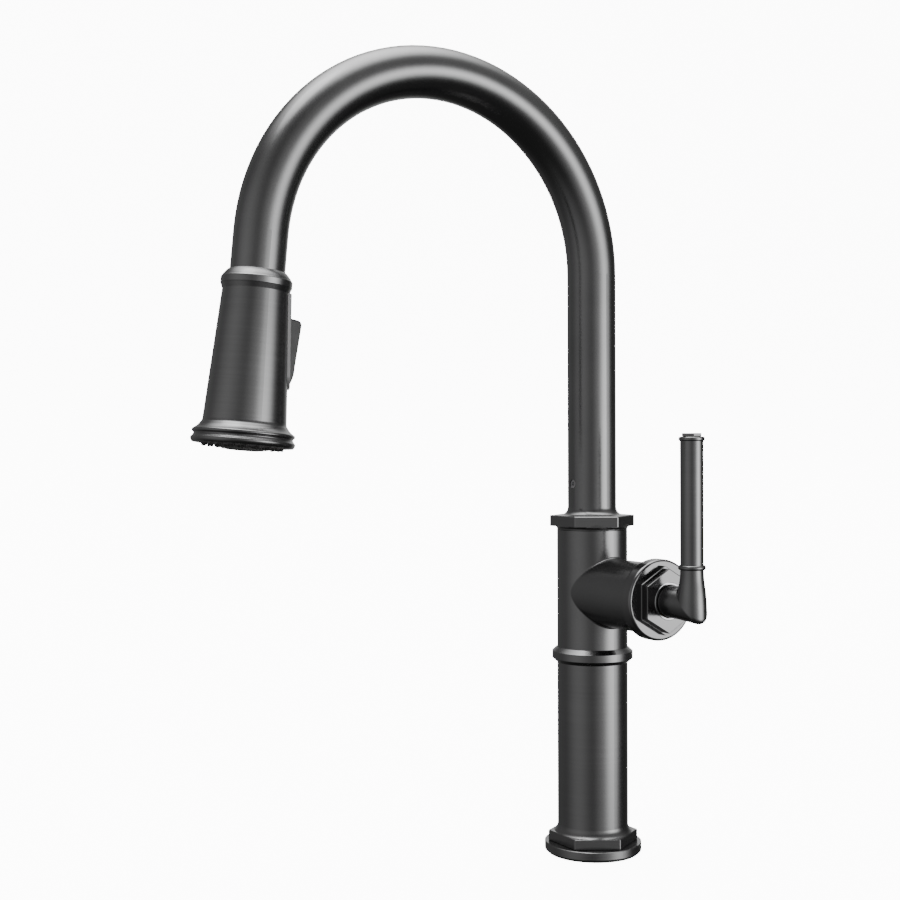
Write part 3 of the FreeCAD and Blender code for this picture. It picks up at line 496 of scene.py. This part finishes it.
def elbow_line(turn):
    """One line of the elbow's skin, from the cartridge's side over the mitre up to the lever."""
    side, up = math.sin(turn), math.cos(turn)
    below = max(0.0, -up)
    line = [around_stem(PIVOT_X + BORE_DEPTH, STEM_BORE, side, up),
            around_stem(PIVOT_X - STEM_BACK, STEM_BORE, side, up)]
    for k in range(END_STEPS + 1):
        back = STEM_BACK * (1 - k / END_STEPS)
        radius = math.sqrt(STEM_RADIUS ** 2 - back ** 2)
        line.append(around_stem(PIVOT_X - back, radius, side, up))
    stem_end = around_stem(STEM_STRAIGHT, STEM_RADIUS, side, up)
    corner = Vector((LEVER_X - MITRE_SLOPE * STEM_RADIUS * up, MITRE_HALF_WIDTH * side,
                     VALVE_LEVEL + (STEM_RADIUS + MITRE_DROP * below) * up))
    rounding = SOFT_CREASE + SOFT_HEEL * below ** 1.5
    flare = flare_points(corner)
    before = corner + (stem_end - corner).normalized() * rounding
    after = corner + (flare[MITRE_AIM] - corner).normalized() * rounding
    line += [stem_end.lerp(before, k / STEM_STEPS) for k in range(STEM_STEPS + 1)]
    for k in range(1, MITRE_STEPS + 1):
        share = k / MITRE_STEPS
        line.append(before.lerp(corner, share).lerp(corner.lerp(after, share), share))
    return line + [point for point in flare if point.z > after.z + MITRE_GAP][-FLARE_KEPT:]


def elbow_mesh(mesh):
    lines = [[mesh.verts.new(point) for point in elbow_line(2 * math.pi * k / ELBOW_SIDES)]
             for k in range(ELBOW_SIDES)]
    for k in range(ELBOW_SIDES):
        for m in range(len(lines[0]) - 1):
            mesh.faces.new((lines[k - 1][m], lines[k][m], lines[k][m + 1], lines[k - 1][m + 1]))
    mesh.faces.new([line[0] for line in lines])
    mesh.faces.new([line[-1] for line in lines][::-1])


def make_elbow():
    new_piece("elbow", elbow_mesh, "handle", "gunmetal", "handle_elbow", gunmetal["blasted"], 60)


make_hose()
make_nozzles()
make_turned_parts()
make_aerator()
make_button()
make_elbow()


# ---------------------------------------------------------------- camera, light and stage

CAMERA_AT = Vector((0.668829, -0.499736, 0.240335))
CAMERA_BEARING, CAMERA_PITCH, CAMERA_ROLL = (math.radians(a) for a in (58.9, -0.49, -0.22))
LENS, SENSOR = 57.16, 36.0


def make_camera():
    """The camera stands to the front right of the faucet and looks at it nearly level."""
    data = bpy.data.cameras.new("camera")
    data.lens, data.sensor_width = LENS, SENSOR
    data.clip_start, data.clip_end = 0.01, 50
    camera = bpy.data.objects.new("camera", data)
    camera.matrix_world = (
        Matrix.Translation(CAMERA_AT) @ Matrix.Rotation(CAMERA_BEARING, 4, "Z")
        @ Matrix.Rotation(math.pi / 2 + CAMERA_PITCH, 4, "X") @ Matrix.Rotation(CAMERA_ROLL, 4, "Z"))
    bpy.context.scene.collection.objects.link(camera)
    bpy.context.scene.camera = camera


def direction(bearing, elevation):
    """Unit vector away from the faucet; the bearing is to the right of the camera, seen from there."""
    around, up = CAMERA_BEARING + math.radians(bearing), math.radians(elevation)
    return Vector((math.sin(around) * math.cos(up), -math.cos(around) * math.cos(up), math.sin(up)))


def softbox(tree, where, bearing, elevation, wide, tall, strength, hardness):
    """A soft-edged light far away: its half width and height are tangents of the angles it spans."""
    ahead = direction(bearing, elevation)
    right = direction(bearing + 90, 0)
    offsets = []
    facing = add_node(tree, "VectorMath", {0: where, 1: ahead}, operation="DOT_PRODUCT").outputs["Value"]
    for axis, reach in ((right, wide), (ahead.cross(right), tall)):
        along = add_node(tree, "VectorMath", {0: where, 1: axis}, operation="DOT_PRODUCT").outputs["Value"]
        share = add_node(tree, "Math", {0: along, 1: facing}, operation="DIVIDE").outputs[0]
        scaled = add_node(tree, "Math", {0: share, 1: reach}, operation="DIVIDE").outputs[0]
        offsets.append(add_node(tree, "Math", {0: scaled, 1: scaled}, operation="MULTIPLY").outputs[0])
    distance = add_node(tree, "Math", {0: offsets[0], 1: offsets[1]}, operation="ADD").outputs[0]
    edge = add_node(tree, "Math", {0: distance, 1: hardness}, operation="POWER").outputs[0]
    fall = add_node(tree, "Math", {0: math.exp(-1), 1: edge}, operation="POWER").outputs[0]
    in_front = add_node(tree, "Math", {0: facing, 1: 0.0}, operation="GREATER_THAN").outputs[0]
    lit = add_node(tree, "Math", {0: fall, 1: in_front}, operation="MULTIPLY").outputs[0]
    return add_node(tree, "Math", {0: lit, 1: strength}, operation="MULTIPLY").outputs[0]


WORLD_BELOW, WORLD_ABOVE = 0.05, 0.12       # strength of the studio's own light
# Bearing and elevation in degrees, half width and height, strength, and how hard the edge is.
SOFTBOXES = {
    "key": (61, -2, 0.37, 0.27, 5.2, 1),
    "key_shoulder": (30, 0, 0.42, 0.5, 0.6, 1),
    "front": (5, 5, 0.5, 0.6, 0.13, 1),
    "fill": (-52, 5, 0.75, 0.9, 0.47, 1),
    "left_rear": (-118, 5, 0.7, 0.8, 0.16, 1),
    "rear": (172, 12, 0.40, 0.60, 0.9, 1),
    "upper": (75, 42, 0.7, 0.45, 0.3, 1),
    "top": (180, 80, 0.60, 0.60, 6.0, 1.3),
}


def make_world():
    """A dim studio with soft boxes, a little lighter overhead than below."""
    world = bpy.data.worlds.new("studio")
    world.use_nodes = True
    tree = world.node_tree
    where = add_node(tree, "TexCoord").outputs["Generated"]
    parts = add_node(tree, "SeparateXYZ", {0: where})
    total = add_node(tree, "MapRange", {
        "Value": parts.outputs[2], "From Min": -0.5, "From Max": 0.6,
        "To Min": WORLD_BELOW, "To Max": WORLD_ABOVE}).outputs[0]
    for box in SOFTBOXES.values():
        total = add_node(tree, "Math", {0: total, 1: softbox(tree, where, *box)}, operation="ADD").outputs[0]
    background = tree.nodes["Background"].inputs
    background["Color"].default_value = (1, 1, 1, 1)
    tree.links.new(total, background["Strength"])
    bpy.context.scene.world = world


LAMP_WATTS, LAMP_SIZE, LAMP_DISTANCE = 4, 0.8, 1.8
LAMP_BEARING, LAMP_ELEVATION = -60, 70


def make_lamp():
    """A weak lamp overhead, for a trace of shadow under the faucet."""
    data = bpy.data.lights.new("lamp", "AREA")
    data.shape, data.size, data.energy = "DISK", LAMP_SIZE, LAMP_WATTS
    lamp = bpy.data.objects.new("lamp", data)
    lamp.location = direction(LAMP_BEARING, LAMP_ELEVATION) * LAMP_DISTANCE
    lamp.rotation_mode = "QUATERNION"
    lamp.rotation_quaternion = lamp.location.to_track_quat("Z", "Y")
    lamp.visible_camera = False
    bpy.context.scene.collection.objects.link(lamp)


FLOOR = -0.3 * MM               # just under the base
# The floor, the curve up behind it, the wall and the ceiling: radius and height in metres.
STAGE_OUTLINE = [(0, FLOOR), (0.6, FLOOR), (1.6, FLOOR), (3.0, FLOOR), (3.4, 0.05), (3.7, 0.2),
                 (3.9, 0.5), (4.0, 1.0), (4.0, 4.0), (2.5, 5.2), (0, 5.5)]
STAGE_STEPS = 96
PAPER = {"Base Color": (0.8, 0.8, 0.8, 1), "Roughness": 0.9, "Emission Color": (1, 1, 1, 1),
         "Emission Strength": 11.0}


def make_stage():
    """A pale floor that curves up into a wall far behind and a ceiling, seen by the camera only."""
    made = bmesh.new()
    lathe(made, STAGE_OUTLINE, COLUMN, STAGE_STEPS)
    stage = add_mesh("stage", made, new_finish("paper", PAPER)[0])
    stage.visible_glossy = stage.visible_diffuse = stage.visible_shadow = False


make_camera()
make_lamp()
make_world()
make_stage()
